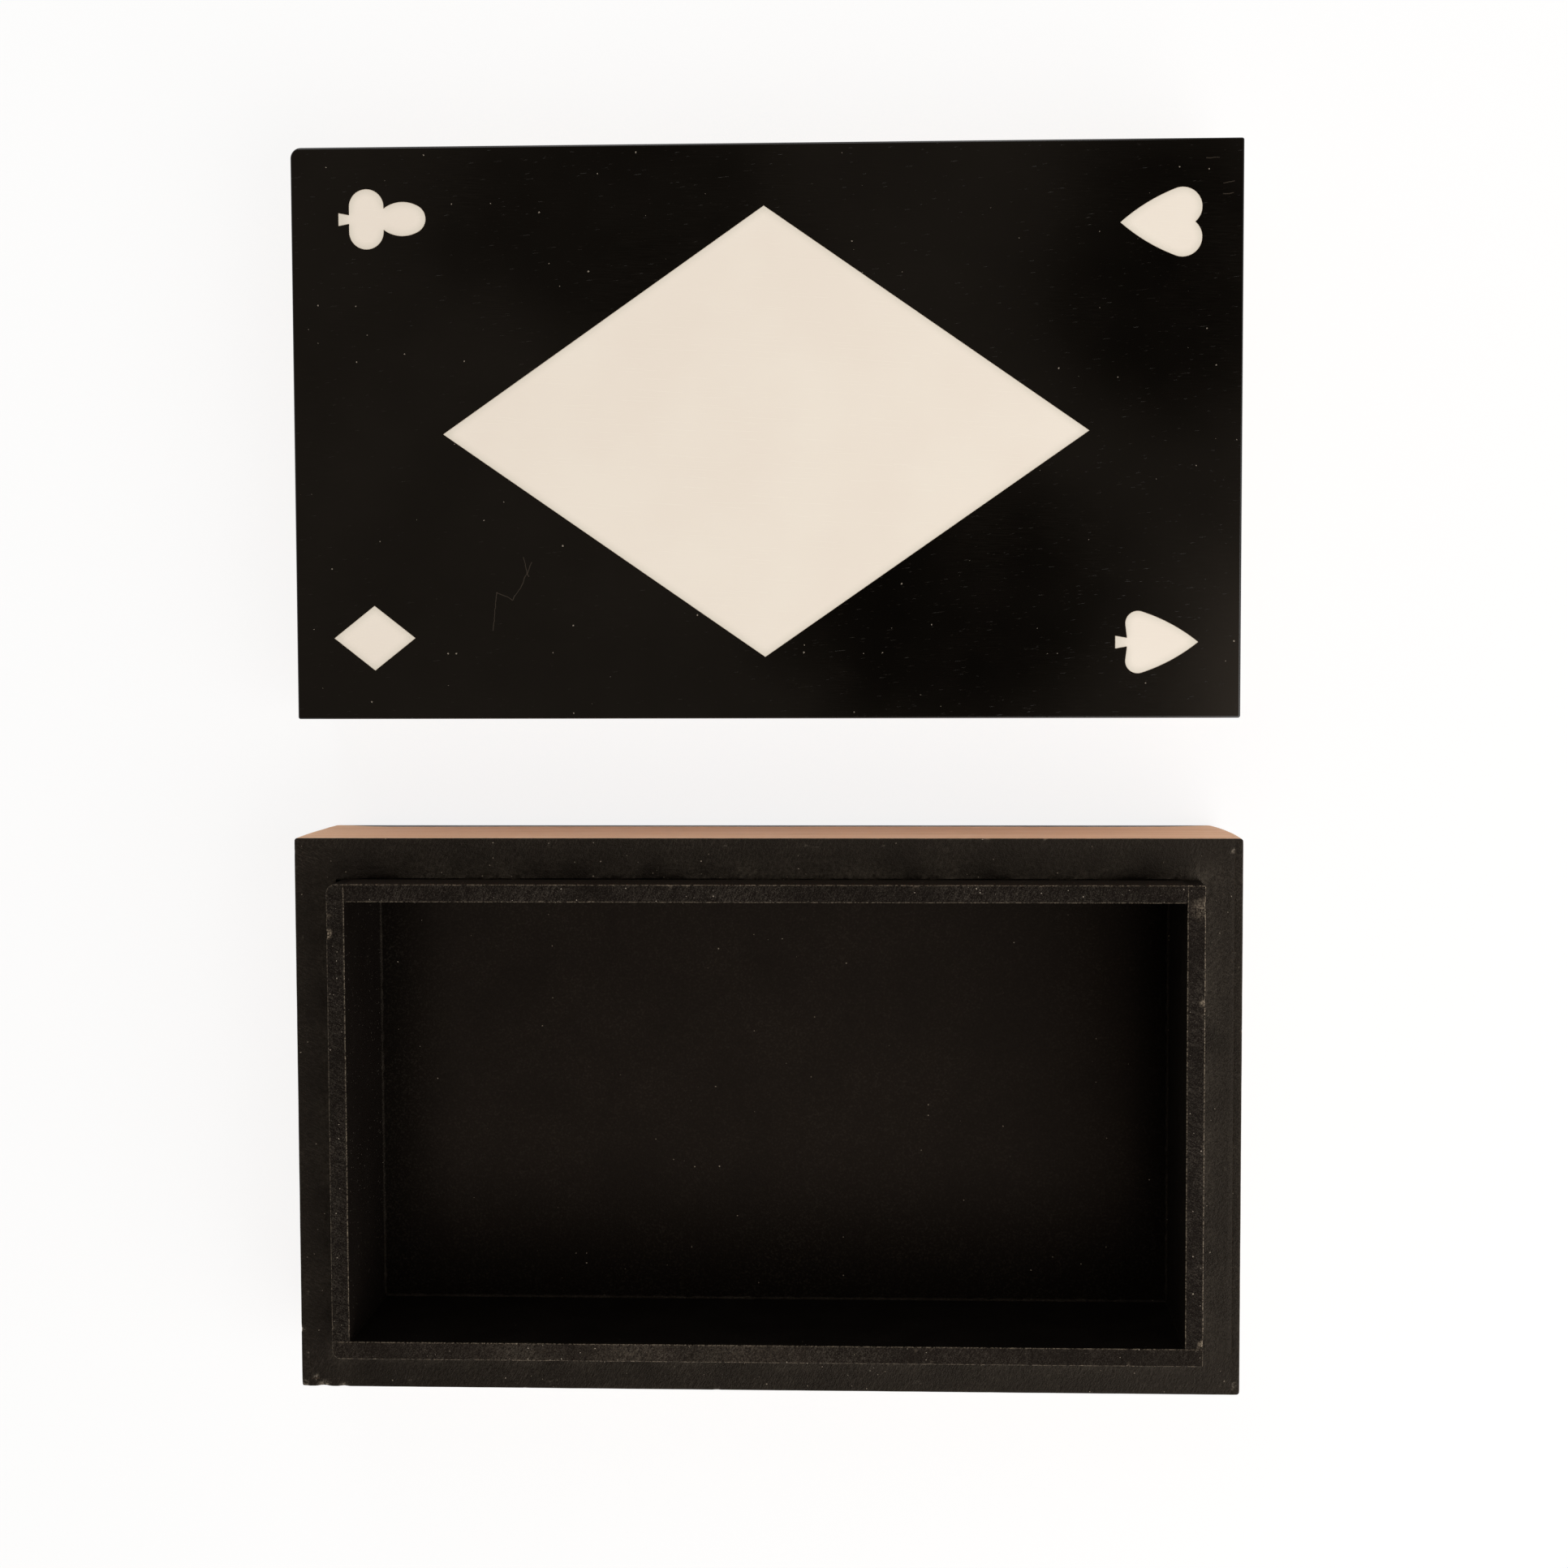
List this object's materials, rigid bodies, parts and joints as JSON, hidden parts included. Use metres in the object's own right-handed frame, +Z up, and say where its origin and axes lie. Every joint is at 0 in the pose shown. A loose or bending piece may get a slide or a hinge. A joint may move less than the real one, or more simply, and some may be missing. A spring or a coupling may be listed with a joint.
{
  "type": "card box",
  "caption": "Low oblong card box with a loose lift-off lid: black resin top with ivory diamond and suit inlays, tan sides, black lip and well; the lid lies beside the base.",
  "frame": {"origin": "middle of the base's underside, on the surface that the box stands on", "axes": "+X along the box to the right, +Y from the base towards the lid that lies behind it, +Z up"},
  "size_m": [0.254, 0.3343, 0.057],
  "materials": {
    "painted_fibreboard": "matte black paint on fibreboard, brushed on, dusty and worn at the edges",
    "tan_facing": "satin tan facing, its top edge painted black on the base",
    "black_resin": "polished black resin with fine sanding scratches",
    "ivory_resin": "polished ivory resin, sanded flush with the sheet around it",
    "pin_steel": "plain drawn wire"
  },
  "bodies": {
    "base": {"base_back_facing": "tan_facing", "base_back_wall": "painted_fibreboard", "base_bottom_panel": "painted_fibreboard", "base_corner_pins": "pin_steel", "base_front_facing": "tan_facing", "base_front_wall": "painted_fibreboard", "base_left_facing": "tan_facing", "base_left_wall": "painted_fibreboard", "base_right_facing": "tan_facing", "base_right_wall": "painted_fibreboard", "liner_back": "painted_fibreboard", "liner_front": "painted_fibreboard", "liner_left": "painted_fibreboard", "liner_right": "painted_fibreboard"},
    "lid": {"inlay_club": "ivory_resin", "inlay_heart": "ivory_resin", "inlay_large_diamond": "ivory_resin", "inlay_small_diamond": "ivory_resin", "inlay_spade": "ivory_resin", "lid_back_facing": "tan_facing", "lid_back_wall": "painted_fibreboard", "lid_corner_pins": "pin_steel", "lid_front_facing": "tan_facing", "lid_front_wall": "painted_fibreboard", "lid_left_facing": "tan_facing", "lid_left_wall": "painted_fibreboard", "lid_panel": "painted_fibreboard", "lid_right_facing": "tan_facing", "lid_right_wall": "painted_fibreboard", "lid_top_sheet": "black_resin"}
  },
  "joints": [
    {"name": "lid_carry", "type": "slide", "parent": "base", "child": "lid", "axis": [0, -0.5547, 0.8321], "range_m": [0, 0.33]}
  ]
}
